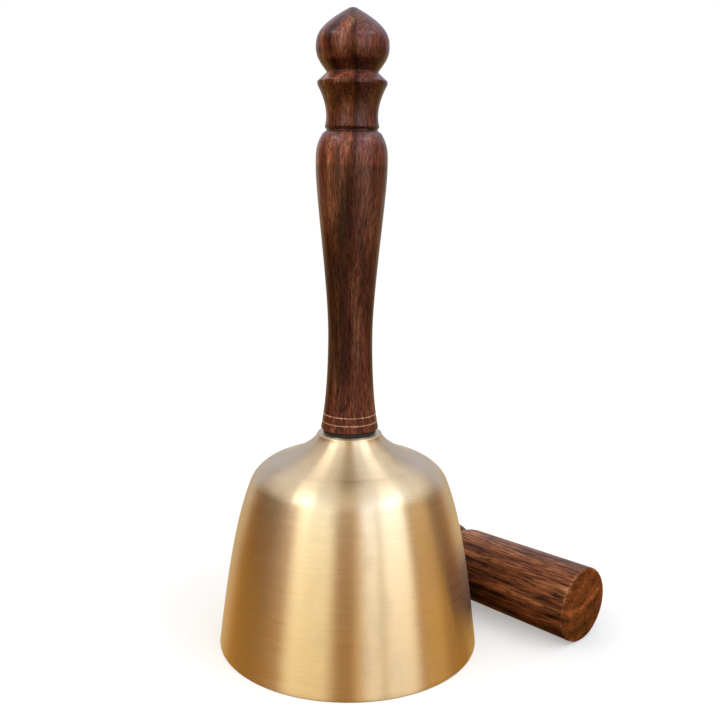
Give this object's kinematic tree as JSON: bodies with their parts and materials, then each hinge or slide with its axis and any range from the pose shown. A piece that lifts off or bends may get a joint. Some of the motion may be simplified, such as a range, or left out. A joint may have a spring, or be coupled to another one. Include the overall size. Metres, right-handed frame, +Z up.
{
  "type": "hand bell",
  "caption": "Brass hand bell without a clapper on a dark turned wooden handle, standing on its rim, with a turned wooden striker lying behind it.",
  "frame": {"origin": "middle of the footprint of bell and striker, in the plane that the rim and the striker rest on", "axes": "+Z up along the bell's axis, -Y towards the viewer; the striker lies behind (+Y) and to the right (+X) of the bell"},
  "size_m": [0.1518, 0.1702, 0.2358],
  "materials": {
    "brass": "satin, finely brushed round the axis",
    "handle_wood": "dark reddish-brown hardwood, satin lacquer",
    "striker_wood": "dark reddish-brown open-pored hardwood, oiled",
    "rubber": "matte black",
    "steel": "zinc-plated"
  },
  "bodies": {
    "bell": {"bell_shell": "brass", "crown_washer": "rubber", "handle": "handle_wood", "handle_stud": "steel", "inner_washer": "rubber", "flat_washer": "steel", "lock_washer": "steel", "hex_nut": "steel"},
    "striker": {"striker": "striker_wood"}
  },
  "joints": [
    {"name": "striker_lift", "type": "slide", "parent": "bell", "child": "striker", "axis": [0, 0, 1], "range_m": [0, 0.24]}
  ]
}
